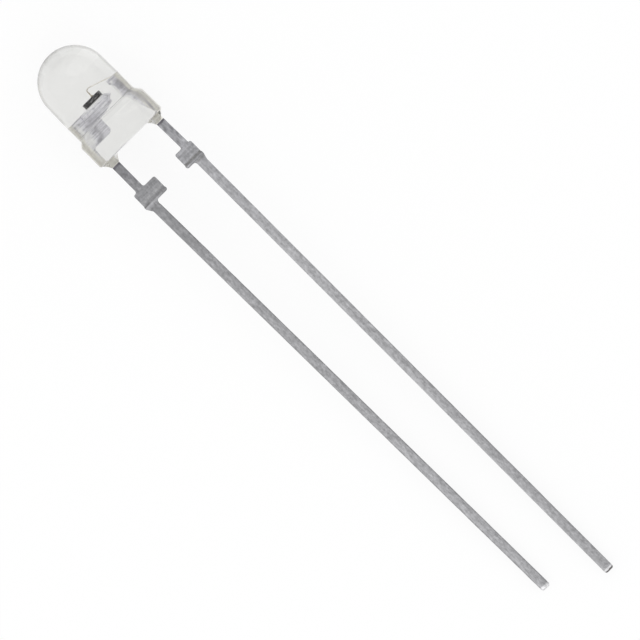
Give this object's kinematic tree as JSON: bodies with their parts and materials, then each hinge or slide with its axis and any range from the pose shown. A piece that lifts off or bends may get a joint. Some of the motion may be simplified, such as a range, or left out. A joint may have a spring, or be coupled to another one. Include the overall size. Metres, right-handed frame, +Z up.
{
  "type": "phototransistor",
  "caption": "Phototransistor in a clear domed lens body, with its lead frame and die showing inside, and two long square leads.",
  "frame": {"origin": "middle of the box's underside, on the surface that the device lies on", "axes": "+X along the leads towards the dome; +Y towards the collector lead; +Z up"},
  "size_m": [0.0308, 0.0035, 0.0036],
  "materials": {
    "clear_epoxy": "water-clear, moulded smooth",
    "tinned_strip": "satin plating, with solder below the stubs",
    "silicon": "dark and smooth",
    "attach_adhesive": "silver-filled, dull",
    "gold_wire": "drawn smooth"
  },
  "bodies": {
    "root": {"lens_body": "clear_epoxy", "collector_lead": "tinned_strip", "emitter_lead": "tinned_strip", "die": "silicon", "die_attach": "attach_adhesive", "bond_wire": "gold_wire"}
  },
  "joints": []
}
